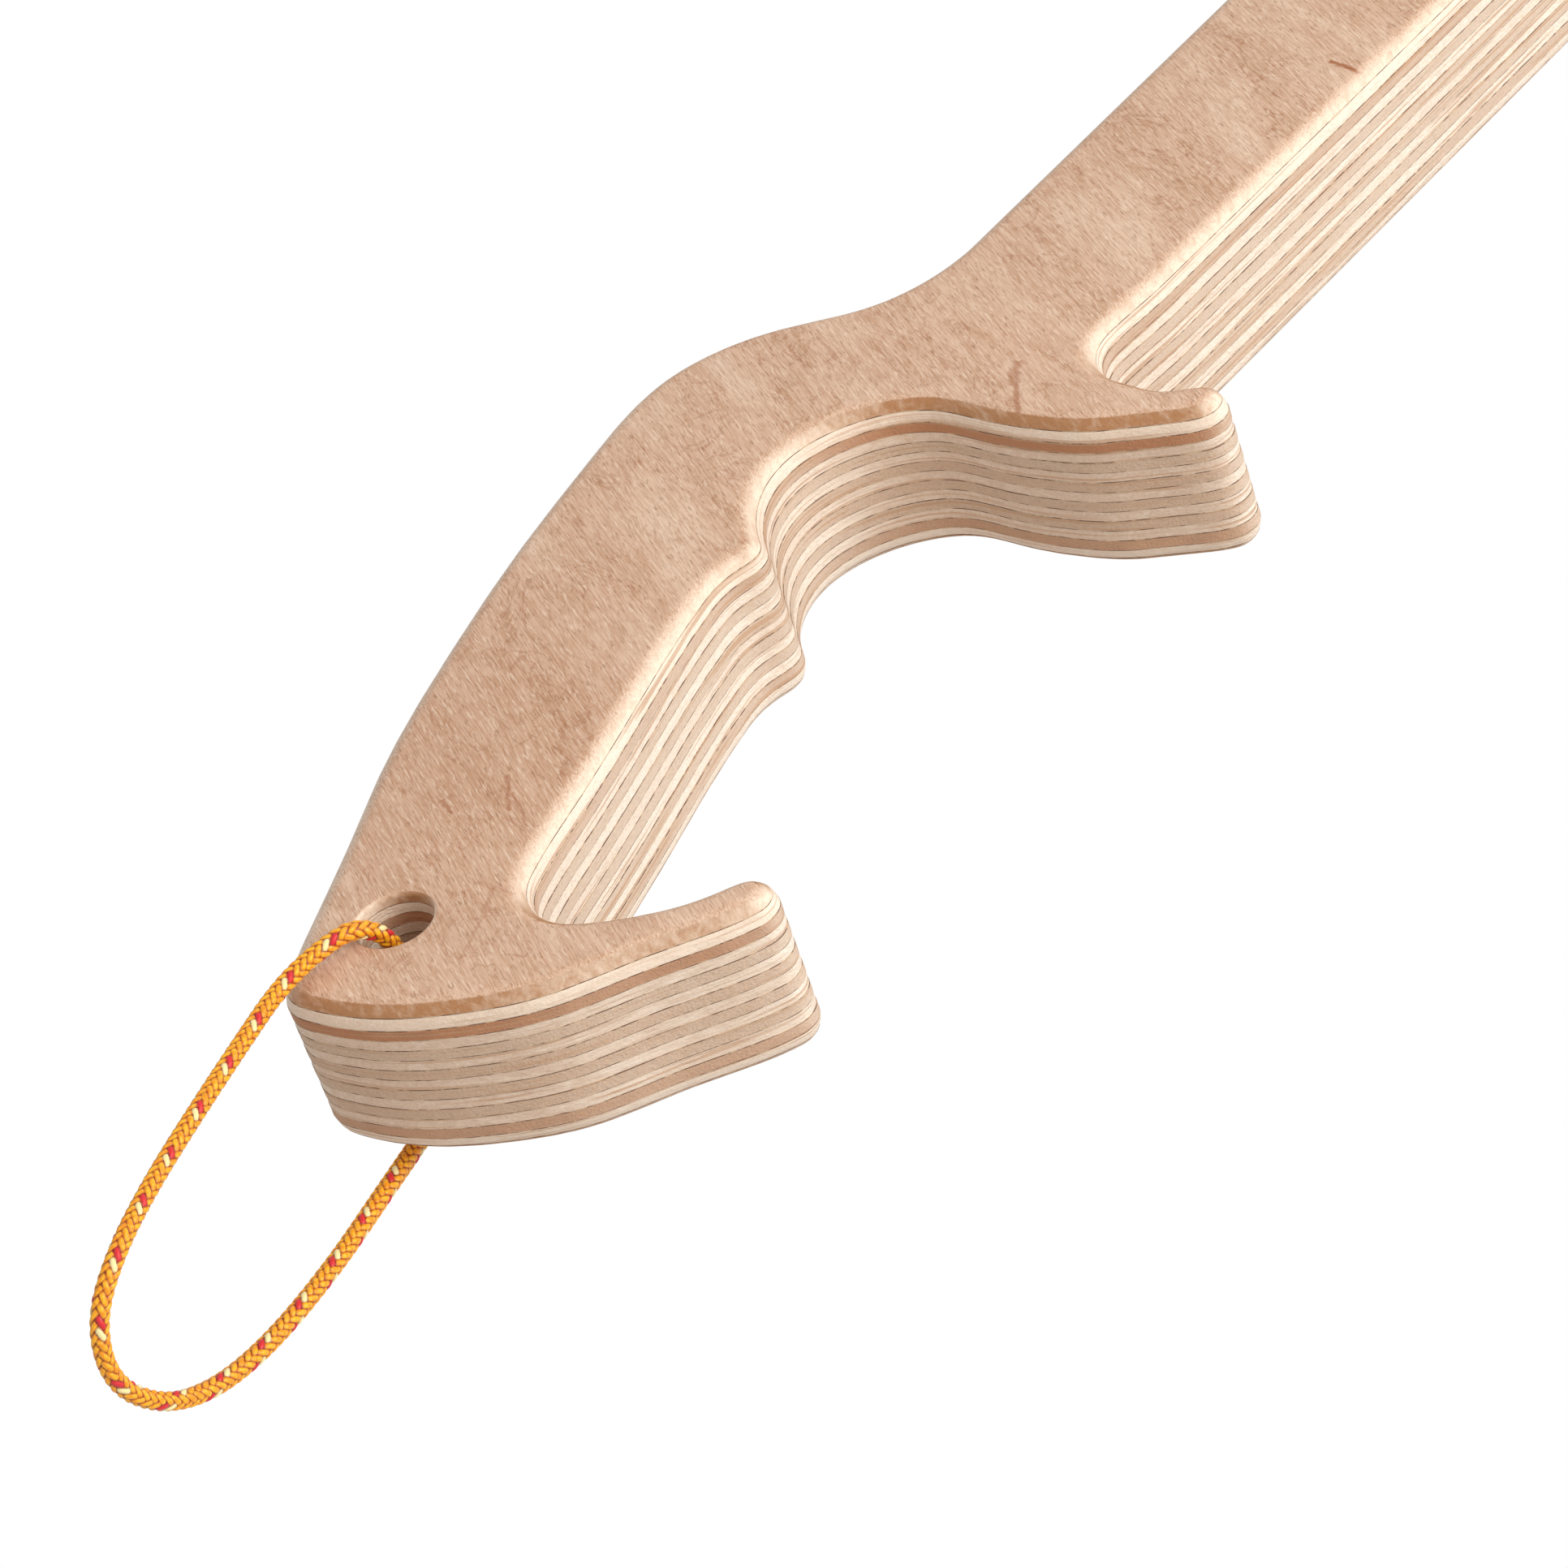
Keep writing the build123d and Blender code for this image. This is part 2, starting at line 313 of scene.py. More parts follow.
def face_birch(board):
    """Rotary-cut birch veneer, sanded and left bare.

    It gives a warm tan with cloudy figure, short dark pores along the fibres and a cream rim where the
    round-over is sanded through the browned skin. The pores are drawn a little wide so that they show.
    """
    def surface(tree):
        space = fibre_space(tree, FIBRE_TURN)
        plane = fibre_space(tree, 0.0)

        clouds = streaks(tree, space, 26, 9, detail=3.0, rough=0.55, bend=0.6)
        curl = streaks(tree, space, 9, 5, detail=4.0, rough=0.6, bend=2.2, shift=3.7)
        curl = add(tree, "ValToRGB", {0: curl, "stops": ((0.56, 0), (0.72, 0.45))})
        held = add(tree, "VectorMath", {"operation": "DISTANCE", 0: plane, 1: (0, 0, -22)}, "Value")
        held = add(tree, "MapRange", {"interpolation_type": "SMOOTHSTEP", 0: held, 1: 8, 2: 46, 3: 0.5, 4: 0})
        figure = streaks(tree, space, 15, 8, detail=4.0, rough=0.62, bend=1.6, shift=31.0)
        contour = add(tree, "ValToRGB", {0: figure, "stops": ((0.475, 0), (0.5, 1), (0.525, 0))})
        where = add(tree, "ValToRGB", {0: clouds, "stops": ((0.42, 0.75), (0.56, 0.2))})
        contour = add(tree, "Math", {"operation": "MULTIPLY", 0: contour, 1: where})
        fibres = streaks(tree, space, 3.8, 0.19, detail=3.0, rough=0.6, shift=1.1)
        threads = add(tree, "ValToRGB", {
            0: fibres, "stops": ((0.34, colour("#BA9072")), (0.66, colour("#EFD6C1")))})
        pores = streaks(tree, space, 1.5, 0.16, detail=1.0, rough=0.4, shift=8.3)
        dark = add(tree, "ValToRGB", {0: pores, "stops": ((0.58, 0), (0.70, 0.5))})
        rays = streaks(tree, space, 1.8, 0.18, detail=1.0, rough=0.4, shift=21.0)
        rays = add(tree, "ValToRGB", {0: rays, "stops": ((0.59, 0), (0.72, 0.5))})
        tone = add(tree, "ValToRGB", {
            0: clouds, "stops": ((0.30, board.face_shade), (0.50, board.face_tan), (0.70, board.face_light))})
        layers = (
            (curl, "#BC8A69"), (held, "#BC8968"), (contour, "#A96F4A"), (0.37, threads), (dark, "#9A7052"),
            (rays, "#F3DFCB"),
        )
        for share, layer in layers:
            tone = add(tree, "Mix", {"data_type": "RGBA", 0: share, 6: tone, 7: layer}, 2)
        tone = stained(tree, tone, plane)

        lean = add(tree, "Attribute", {"attribute_name": "lean"}, "Fac")
        cut = add(tree, "Attribute", {"attribute_name": "cut"}, "Fac")
        slant = add(tree, "Math", {"operation": "MAXIMUM", 0: cut, 1: 0.05})
        slant = add(tree, "Math", {"operation": "DIVIDE", 0: lean, 1: slant})
        side = add(tree, "Math", {"operation": "MAXIMUM", 0: slant, 1: 0.0})
        stipple = streaks(tree, space, 0.6, 0.2, detail=3.0, rough=0.75, shift=5.0)
        speck = add(tree, "Math", {"operation": "SUBTRACT", 0: stipple, 1: 0.5})
        spread = add(tree, "Math", {"operation": "MULTIPLY_ADD", 0: slant, 1: 0.5, 2: 0.65})
        speck = add(tree, "Math", {"operation": "MULTIPLY", 0: speck, 1: spread})
        speck = add(tree, "Math", {"operation": "ADD", 0: cut, 1: speck})
        starts = add(tree, "Math", {"operation": "MULTIPLY_ADD", 0: side, 1: -0.30, 2: 0.40})
        ends = add(tree, "Math", {"operation": "MULTIPLY_ADD", 0: side, 1: 0.33, 2: 0.47})
        worn = add(tree, "MapRange", {"interpolation_type": "SMOOTHSTEP", 0: speck, 1: starts, 2: ends})
        edge = cut_edge(tree, space, slant, board.face_clean, board.face_torn)
        tone = add(tree, "Mix", {"data_type": "RGBA", 0: worn, 6: tone, 7: edge}, 2)
        height = add(tree, "Mix", {"data_type": "RGBA", 0: 0.5, 6: fibres, 7: pores}, 2)
        bump = add(tree, "Bump", {"Strength": 0.32, "Distance": 0.09 * MM, "Height": height})
        return {"Base Color": tone, "Roughness": 0.62, "Specular IOR Level": 0.32, "Normal": bump}

    return new_material("bare_birch_face_veneer", surface)


def core_birch(name, turn, board, clean, torn):
    """Birch core veneer where the router cut it: cream with the fibres, tan and pitted against them."""
    def surface(tree):
        space = fibre_space(tree, turn)
        lean = add(tree, "Attribute", {"attribute_name": "lean"}, "Fac")
        tint = add(tree, "Attribute", {"attribute_name": "tint"}, "Fac")
        against = add(tree, "Math", {"operation": "MULTIPLY_ADD", 0: lean, 1: -0.42, 2: 0.58})
        brown = add(tree, "Math", {"operation": "MULTIPLY", 0: tint, 1: against})
        pale = add(tree, "Math", {"operation": "MULTIPLY", 0: tint, 1: -0.7})
        rings = add(tree, "Mapping", {"Vector": fibre_space(tree, 0.0), "Scale": (1 / 30, 1 / 0.45, 1 / 30)})
        rings = add(tree, "TexNoise", {"Vector": rings, "Scale": 1.0, "Detail": 2.0, "Distortion": 0.3})
        vein = add(tree, "ValToRGB", {0: rings, "stops": ((0.54, 0), (0.66, 0.7))})
        tone = cut_edge(tree, space, lean, clean, torn)
        for share, layer in ((brown, board.brown_ply), (pale, board.pale_ply), (vein, "#C09878")):
            tone = add(tree, "Mix", {"data_type": "RGBA", 0: share, 6: tone, 7: layer}, 2)

        fuzz = add(tree, "TexNoise", {"Vector": space, "Scale": 2.6, "Detail": 3.0, "Roughness": 0.7})
        torn_here = add(tree, "MapRange", {0: lean, 1: -1.0, 2: 1.0, 3: 1.0, 4: 0.25})
        fuzz = add(tree, "Math", {"operation": "MULTIPLY", 0: fuzz, 1: torn_here})
        grain = streaks(tree, space, 3, 0.3, rough=0.6, shift=2.0)
        grain = add(tree, "Math", {"operation": "MULTIPLY", 0: grain, 1: 0.5})
        height = add(tree, "Math", {"operation": "ADD", 0: fuzz, 1: grain})
        bump = add(tree, "Bump", {"Strength": 0.85, "Distance": 0.28 * MM, "Height": height})
        return {"Base Color": tone, "Roughness": 0.68, "Specular IOR Level": 0.28, "Normal": bump}

    return new_material(name, surface)


def glue_line(board):
    """Phenolic glue, hot-pressed and cut flush: a thin dark line that fades where wood is smeared over it."""
    def surface(tree):
        gaps = streaks(tree, fibre_space(tree, 0.0), 3.0, 2.0, detail=3.0, rough=0.65, shift=4.0)
        tone = add(tree, "ValToRGB", {
            0: gaps, "stops": ((0.42, board.glue_dark), (0.60, board.glue_smeared))})
        return {"Base Color": tone, "Roughness": 0.6}

    return new_material("pressed_phenolic_glue", surface)


def braided_polyester(cord):
    """Braided polyester accessory cord: shiny golden filaments with a red and a cream tracer strand, and
    painted shade in the valleys between strands.
    """
    def surface(tree):
        tracer = add(tree, "Attribute", {"attribute_name": "tracer"}, "Fac")
        valley = add(tree, "Attribute", {"attribute_name": "valley"}, "Fac")
        yarn = add(tree, "TexNoise", {"Vector": fibre_space(tree, 0.0), "Scale": 2.2, "Detail": 2.0})
        tone = add(tree, "ValToRGB", {0: yarn, "stops": ((0.35, cord.gold_deep), (0.65, cord.gold_bright))})
        for limit, strand in ((0.5, cord.red_tracer), (1.5, cord.cream_tracer)):
            share = add(tree, "Math", {"operation": "GREATER_THAN", 0: tracer, 1: limit})
            tone = add(tree, "Mix", {"data_type": "RGBA", 0: share, 6: tone, 7: strand}, 2)
        # Painted shade: the yarn is multiplied darker by how deep the braid's valley is at each point.
        deep = add(tree, "ValToRGB", {0: valley, "stops": ((0.2, 0), (0.7, 1))})
        shade = add(tree, "Mix", {
            "data_type": "RGBA", "blend_type": "MULTIPLY", 0: 1.0, 6: tone, 7: cord.painted_valley_shade}, 2)
        tone = add(tree, "Mix", {"data_type": "RGBA", 0: deep, 6: tone, 7: shade}, 2)
        bump = add(tree, "Bump", {"Strength": 0.3, "Distance": 0.06 * MM, "Height": yarn})
        return {
            "Base Color": tone, "Roughness": 0.42, "Sheen Weight": 0.25, "Sheen Roughness": 0.4,
            "Normal": bump}

    return new_material("braided_polyester_gold", surface)


# ---- Meshes ----


def make_piece(name, points, faces, material, **values):
    """A mesh object at the origin, with one number per point or per face for each named value."""
    mesh = bpy.data.meshes.new(name)
    mesh.from_pydata(points.tolist(), [], faces)
    for key, numbers in values.items():
        domain = "POINT" if len(numbers) == len(points) else "FACE"
        layer = mesh.attributes.new(key, "FLOAT", domain)
        layer.data.foreach_set("value", np.asarray(numbers, dtype=np.float32))
    mesh.polygons.foreach_set("use_smooth", np.ones(len(mesh.polygons), dtype=bool))
    mesh.materials.append(material)
    mesh.update()
    piece = bpy.data.objects.new(name, mesh)
    bpy.context.scene.collection.objects.link(piece)
    return piece


def flat_lines(node):
    """The closed lines round the far flat face of a CAD node, as (x, z) in metres, the outer one first.

    An edge of a flat triangle that no other flat triangle shares lies on a line, and each line is followed
    from corner to corner.
    """
    mesh = node.data
    spots = np.empty(len(mesh.vertices) * 3)
    mesh.vertices.foreach_get("co", spots)
    spots = spots.reshape(-1, 3)
    mesh.calc_loop_triangles()
    corners = np.empty(len(mesh.loop_triangles) * 3, dtype=int)
    mesh.loop_triangles.foreach_get("vertices", corners)
    keys, same = np.unique(np.round(spots, 7), axis=0, return_inverse=True)
    corners = same.reshape(-1)[corners].reshape(-1, 3)
    flat = corners[np.all(keys[corners][:, :, 1] > keys[:, 1].max() - 1e-6, axis=1)]
    edges = np.concatenate([flat[:, [0, 1]], flat[:, [1, 2]], flat[:, [2, 0]]])
    there = {tuple(edge) for edge in edges.tolist()}
    following = {a: b for a, b in there if (b, a) not in there}
    lines = []
    while following:
        start, here = following.popitem()
        line = [start]
        while here != start:
            line.append(here)
            here = following.pop(here)
        lines.append(keys[line][:, [0, 2]])
    return sorted(lines, key=lambda line: -np.ptp(line[:, 1]))


def even_line(line, step, soften):
    """A closed line with evenly spaced points, softened along its length.

    Points are laid at equal steps of arc length, and each frequency of the line is damped as a bell curve of
    the given reach would damp it.
    """
    closed = np.vstack([line, line[:1]])
    run = np.concatenate([[0], np.cumsum(np.hypot(*np.diff(closed, axis=0).T))])
    count = int(round(run[-1] / step))
    at = np.arange(count) * run[-1] / count
    points = np.stack([np.interp(at, run, closed[:, axis]) for axis in (0, 1)], axis=1)
    pitch = np.fft.fftfreq(count, run[-1] / count)
    damping = np.exp(-2 * (math.pi * pitch * soften) ** 2)
    return np.fft.ifft(np.fft.fft(points, axis=0) * damping[:, None], axis=0).real


def outward(points):
    """Unit normals of a closed line in its plane, pointing out of the wood.

    The normal is the line's direction turned a quarter clockwise, for a line that runs anticlockwise round
    wood and clockwise round a hole.
    """
    along = np.roll(points, -1, axis=0) - np.roll(points, 1, axis=0)
    along /= np.hypot(*along.T)[:, None]
    return np.stack([along[:, 1], -along[:, 0]], axis=1)


def turned(points, anticlockwise):
    """The closed line in the asked direction, by the sign of the area it encloses."""
    x, z = points.T
    area = np.sum(x * np.roll(z, -1) - np.roll(x, -1) * z)
    return points if (area > 0) == anticlockwise else points[::-1]


def inset(depth, radius):
    """How far a quarter-round edge has drawn in at a depth below the face: a circle's sagitta, 0 below it."""
    left = np.clip(radius - depth, 0, radius)
    return radius - np.sqrt(radius ** 2 - left ** 2)


def rows_through(low, high, radius):
    """Levels across a ply, close together where the round-over turns and evenly spread elsewhere.

    A glue film is so thin that its two sides are enough.
    """
    if high - low < THIN:
        return np.array([low, high])
    even = np.linspace(low, high, WALL_ROWS)
    depth = half_board - np.abs(np.array([low, high]))
    if depth.min() > radius:
        return even
    face = -1 if high < 0 else 1
    start = math.acos(1 - max(depth.min(), 0) / radius)
    end = math.acos(1 - min(depth.max(), radius) / radius)
    depths = radius * (1 - np.cos(np.linspace(start, end, ROUND_ROWS)))
    if depth.max() > radius:
        depths = np.append(depths, depth.max())
    return np.sort(face * (half_board - depths))


def pits(shape, coarse, rng):
    """Smooth random depths from 0 to 1 on a grid that closes round its second side.

    Random values on a coarse grid are stretched over the fine one by straight-line blending.
    """
    rows = max(2, shape[0] // coarse[0] + 1)
    columns = max(8, shape[1] // coarse[1])
    values = rng.random((rows, columns))
    values = np.concatenate([values, values[:, :1]], axis=1)
    down = np.linspace(0, rows - 1, shape[0])
    across = np.arange(shape[1]) * columns / shape[1]
    i, j = np.minimum(down.astype(int), rows - 2), across.astype(int)
    p, q = (down - i)[:, None], (across - j)[None, :]
    p, q = p * p * (3 - 2 * p), q * q * (3 - 2 * q)
    top = values[i][:, j] * (1 - q) + values[i][:, j + 1] * q
    bottom = values[i + 1][:, j] * (1 - q) + values[i + 1][:, j + 1] * q
    return top * (1 - p) + bottom * p


def plate(lines, low, high, radii, turn, tear, sink, rng):
    """A ply as a closed surface: walls that follow its lines, and flat faces across their ends.

    A wall's point is its line's point moved into the wood along the line's normal, by the round-over at that
    level and by the pits that the cutter left. The lean is the sine of twice the angle between the wall's
    normal and the fibres: it says which way the fibres slant across the cut. The hand-sanded round-over has
    almost no pits, because their depth goes with the sixth power of the cut.
    """
    points, faces, leans, cuts = [], [], [], []
    base = 0
    rims = []
    for line, radius in zip(lines, radii):
        levels = rows_through(low, high, radius)
        normal = outward(line)
        count, depth = len(line), half_board - np.abs(levels)
        angle = np.arctan2(normal[:, 1], normal[:, 0]) - turn
        lean = np.broadcast_to(np.sin(2 * angle), (len(levels), count))
        cut = np.sqrt(1 - np.clip(1 - depth / radius, 0, 1) ** 2)
        rough = tear * (0.35 + 0.65 * (1 - lean) / 2) * pits((len(levels), count), FINE_PITS, rng)
        wave = 0.5 * tear * pits((len(levels), count), LONG_PITS, rng)
        drawn = inset(depth, radius)[:, None] + sink * cut[:, None] + (rough + wave) * cut[:, None] ** 6
        flat = line[None] - normal[None] * drawn[:, :, None]
        across = np.broadcast_to(levels[:, None], (len(levels), count))
        points.append(np.stack([flat[..., 0], across, flat[..., 1]], axis=2).reshape(-1, 3))
        leans.append((lean * cut[:, None]).reshape(-1))
        cuts.append(np.broadcast_to(cut[:, None], (len(levels), count)).reshape(-1))
        grid = base + np.arange(len(levels) * count).reshape(len(levels), count)
        beyond = np.roll(grid, -1, axis=1)
        faces.append(np.stack([grid[:-1], grid[1:], beyond[1:], beyond[:-1]], axis=2).reshape(-1, 4))
        rims.append((grid[0], grid[-1]))
        base += grid.size
    points = np.concatenate(points)
    faces = [tuple(face) for face in np.concatenate(faces).tolist()]
    for end in (0, 1):
        rim = [ring[end] for ring in rims]
        names = np.concatenate(rim)
        cap = np.array(tessellate_polygon([points[ring][:, [0, 2, 1]].tolist() for ring in rim]))
        faces += [tuple(face) for face in facing(points, names[cap], end).tolist()]
    return points, faces, np.concatenate(leans), np.concatenate(cuts)


def facing(points, triangles, end):
    """Flat triangles that all look out of the ply: towards -Y at its low end and +Y at its high end."""
    a, b, c = (points[triangles[:, i]] for i in range(3))
    look = np.cross(b - a, c - a)[:, 1]
    wrong = look > 0 if end == 0 else look < 0
    triangles[wrong] = triangles[wrong][:, ::-1]
    return triangles


def sharpen_flat_rims(piece, outer_face):
    """Marks as sharp the edges where a wall meets a hidden flat face, so that shading stops at them."""
    mesh = piece.data
    levels = np.empty(len(mesh.vertices) * 3)
    mesh.vertices.foreach_get("co", levels)
    levels = levels[1::3]
    ends = np.empty(len(mesh.edges) * 2, dtype=int)
    mesh.edges.foreach_get("vertices", ends)
    ends = levels[ends.reshape(-1, 2)]
    limits = [
        side for side in (levels.min(), levels.max()) if outer_face is None or abs(side - outer_face) > 1e-6]
    sharp = np.zeros(len(mesh.edges), dtype=bool)
    for limit in limits:
        sharp |= np.all(np.abs(ends - limit) < 1e-7, axis=1)
    layer = mesh.attributes.new("sharp_edge", "BOOLEAN", "EDGE")
    layer.data.foreach_set("value", sharp)


def board_lines(board):
    """The outline and the hole of the board, evenly spaced, each with the wood on the same side."""
    lines = flat_lines(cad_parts[middle_ply])
    outline = even_line(lines[0], board.step, board.soften)
    hole = even_line(lines[1], board.step / 2, 0.0)
    return [turned(outline, True), turned(hole, False)]


def even_path(path, step):
    """An open path with evenly spaced points, and each point's distance along it."""
    run = np.concatenate([[0], np.cumsum(np.linalg.norm(np.diff(path, axis=0), axis=1))])
    at = np.linspace(0, run[-1], int(run[-1] / step) + 1)
    return np.stack([np.interp(at, run, path[:, axis]) for axis in range(3)], axis=1), at


def braid(along, round_it, cord):
    """Height from 0 to 1 of a two-over-two braid, and the tracer of the strand on top.

    Two families of strands wind opposite ways, so a place has a strand number in each. The family on top
    changes every second crossing, and the top strand is round across its width and dips at its ends.
    """
    turn = cord.strands * round_it / (2 * math.pi)
    climb = cord.strands * along / cord.lay
    one, other = turn + climb, turn - climb
    step = np.mod(np.floor(one) + np.floor(other), 4)
    first = step < 2
    across = np.where(first, np.mod(one, 1), np.mod(other, 1))
    reach = np.where(first, np.mod(other + np.floor(one), 4), np.mod(one + np.floor(other) - 2, 4)) / 2
    crown = np.sqrt(np.clip(1 - 0.95 * (2 * across - 1) ** 2, 0, 1))
    height = crown * (0.45 + 0.55 * np.sqrt(np.clip(np.sin(math.pi * np.clip(reach, 0, 1)), 0, 1)))
    number = np.mod(np.floor(one), cord.strands)
    tracer = np.where(first & (number == 0), 1, np.where(first & (number == 1), 2, 0))
    return height, tracer


def braided_tube(spots, along, aside, sides, cord):
    """A cord's surface: a circle carried along evenly spaced spots, its radius raised by the braid's height.

    The circle's first direction is the given direction aside, with its share along the tangent taken off, so
    the tube doesn't twist. Returns points, faces, the depth of each point's valley and each face's tracer.
    """
    tangent = np.gradient(spots, axis=0)
    tangent /= np.linalg.norm(tangent, axis=1)[:, None]
    normal = aside - tangent * np.sum(aside * tangent, axis=1)[:, None]
    normal /= np.linalg.norm(normal, axis=1)[:, None]
    binormal = np.cross(tangent, normal)
    angles = np.arange(sides) * 2 * math.pi / sides
    height, _ = braid(along[:, None], angles[None], cord)
    reach = cord.diameter / 2 * (1 - cord.relief + cord.relief * height)
    ring = np.cos(angles)[None, :, None] * normal[:, None] + np.sin(angles)[None, :, None] * binormal[:, None]
    surface = (spots[:, None] + ring * reach[:, :, None]).reshape(-1, 3)
    points = np.vstack([surface, spots[:1], spots[-1:]])
    grid = np.arange(len(spots) * sides).reshape(len(spots), sides)
    beyond = np.roll(grid, -1, axis=1)
    quads = np.stack([grid[:-1], beyond[:-1], beyond[1:], grid[1:]], axis=2).reshape(-1, 4).tolist()
    ends = np.concatenate([
        np.stack([beyond[0], grid[0], np.full(sides, len(surface))], axis=1),
        np.stack([grid[-1], beyond[-1], np.full(sides, len(surface) + 1)], axis=1)]).tolist()
    _, tracer = braid((along[:-1, None] + along[1:, None]) / 2, angles[None] + math.pi / sides, cord)
    tracer = np.concatenate([tracer.reshape(-1), np.zeros(2 * sides)])
    valley = np.concatenate([(1 - height).reshape(-1), [0.0, 0.0]])
    return points, [tuple(face) for face in quads + ends], valley, tracer


def hole_axis():
    """The hole's middle in the board's plane, as (x, z) in metres."""
    hole = flat_lines(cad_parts[middle_ply])[1]
    return (hole.min(axis=0) + hole.max(axis=0)) / 2


def traced_route(hole):
    """The lanyard's centre line: points along the smooth curve that ROUTE pulls on, from the hole."""
    line = bpy.data.curves.new("lanyard_line", "CURVE")
    line.dimensions = "3D"
    line.resolution_u = 48
    spline = line.splines.new("NURBS")
    spline.points.add(len(ROUTE) - 1)
    for point, (x, y, z) in zip(spline.points, ROUTE):
        point.co = (hole[0] + x * MM, y * MM, hole[1] + z * MM, 1.0)
    spline.order_u = 3
    spline.use_endpoint_u = True
    carrier = bpy.data.objects.new("lanyard_line", line)
    bpy.context.scene.collection.objects.link(carrier)
    bpy.context.view_layer.update()
    traced = bpy.data.meshes.new_from_object(carrier.evaluated_get(bpy.context.evaluated_depsgraph_get()))
    path = np.empty(len(traced.vertices) * 3)
    traced.vertices.foreach_get("co", path)
    bpy.data.objects.remove(carrier)
    return path.reshape(-1, 3)


# ---- Operators ----


class AXE_OT_plies(bpy.types.Operator):
    """Cuts every veneer of the board, with its round-over, its torn edge and its grain"""

    bl_idname = "axe.plies"
    bl_label = "Plies"

    def execute(self, context):
        board = context.scene.axe_board
        lines = board_lines(board)
        face = face_birch(board)
        cores = [
            core_birch("routed_birch_core_long", FIBRE_TURN, board, board.long_clean, board.long_torn),
            core_birch(
                "routed_birch_core_cross", FIBRE_TURN + math.pi / 2, board, board.cross_clean,
                board.cross_torn),
        ]
        radii = (board.edge_round, board.hole_round)
        for index, node in enumerate(PLIES):
            rng = np.random.default_rng(index)
            low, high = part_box(node)[0][1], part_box(node)[1][1]
            turn = FIBRE_TURN + (index % 2) * math.pi / 2
            sink = board.sink * (index % 2)
            points, faces, lean, cut = plate(lines, low, high, radii, turn, board.tear, sink, rng)
            outer = index in (0, len(PLIES) - 1)
            tint = np.full(len(points), BROWN[index])
            material = face if outer else cores[index % 2]
            piece = make_piece(node + "_veneer", points, faces, material, lean=lean, cut=cut, tint=tint)
            skin = None if not outer else (low if index == 0 else high)
            sharpen_flat_rims(piece, skin)
            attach(piece, "root")
            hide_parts(node)
        return {"FINISHED"}


class AXE_OT_glue(bpy.types.Operator):
    """Lays the thin glue film between each pair of veneers"""

    bl_idname = "axe.glue"
    bl_label = "Glue films"

    def execute(self, context):
        board = context.scene.axe_board
        lines = board_lines(board)
        radii = (board.edge_round, board.hole_round)
        rng = np.random.default_rng(99)
        points, faces = [], []
        for below, above in zip(PLIES, PLIES[1:]):
            low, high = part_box(below)[1][1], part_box(above)[0][1]
            base = sum(len(part) for part in points)
            film, sides, _, _ = plate(lines, low, high, radii, 0.0, 0.0, board.sink, rng)
            points.append(film)
            faces += [tuple(base + corner for corner in side) for side in sides]
        piece = make_piece("glue_lines", np.concatenate(points), faces, glue_line(board))
        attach(piece, "root")
        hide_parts("glue_films")
        return {"FINISHED"}


class AXE_OT_lanyard(bpy.types.Operator):
    """Braids the hanging loop of cord and winds its knot in the hole"""

    bl_idname = "axe.lanyard"
    bl_label = "Lanyard"

    def execute(self, context):
        cord = context.scene.axe_cord
        material = braided_polyester(cord)
        hole = hole_axis()
        path = traced_route(hole)
        spots, along = even_path(path, LOOP_STEP)
        points, faces, valley, tracer = braided_tube(spots, along, np.array([1.0, 0, 0]), LOOP_SIDES, cord)
        loop = make_piece("lanyard_braid", points, faces, material, valley=valley, tracer=tracer)
        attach(loop, "root")
        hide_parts("lanyard_cord")

        low, high = np.array(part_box("lanyard_knot"))
        centre = (low + high) / 2
        turns = np.linspace(0, KNOT_TURNS * 2 * math.pi, KNOT_POINTS)
        wind = (high[0] - low[0]) / 2 - cord.diameter / 2
        rise = np.linspace(low[1] + cord.diameter / 2, high[1] - cord.diameter / 2, KNOT_POINTS)
        helix = np.stack([centre[0] + wind * np.cos(turns), rise, centre[2] + wind * np.sin(turns)], axis=1)
        spots, along = even_path(helix, KNOT_STEP)
        away = (spots - centre) * (1, 0, 1)
        points, faces, valley, tracer = braided_tube(spots, along, away, KNOT_SIDES, cord)
        wraps = make_piece("lanyard_wraps", points, faces, material, valley=valley, tracer=tracer)
        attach(wraps, "root")
        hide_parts("lanyard_knot")

        return {"FINISHED"}


def look_from(place, aim, upward):
    """A matrix that stands at a place, looks at another, and keeps a direction upward in the picture."""
    back = (Vector(place) - Vector(aim)).normalized()
    right = Vector(upward).cross(back).normalized()
    up = back.cross(right)
    turn = Matrix((right, up, back)).transposed().to_4x4()
    return Matrix.Translation(place) @ turn


def add_light(name, place, aim, size, power, tint):
    """A large soft rectangle of light that faces its aim."""
    lamp = bpy.data.lights.new(name, "AREA")
    lamp.shape = "RECTANGLE"
    lamp.size, lamp.size_y = size
    lamp.energy = power
    lamp.color = tint[:3]
    light = bpy.data.objects.new(name, lamp)
    light.matrix_world = look_from(place, aim, (0, 0.1, 1))
    bpy.context.scene.collection.objects.link(light)


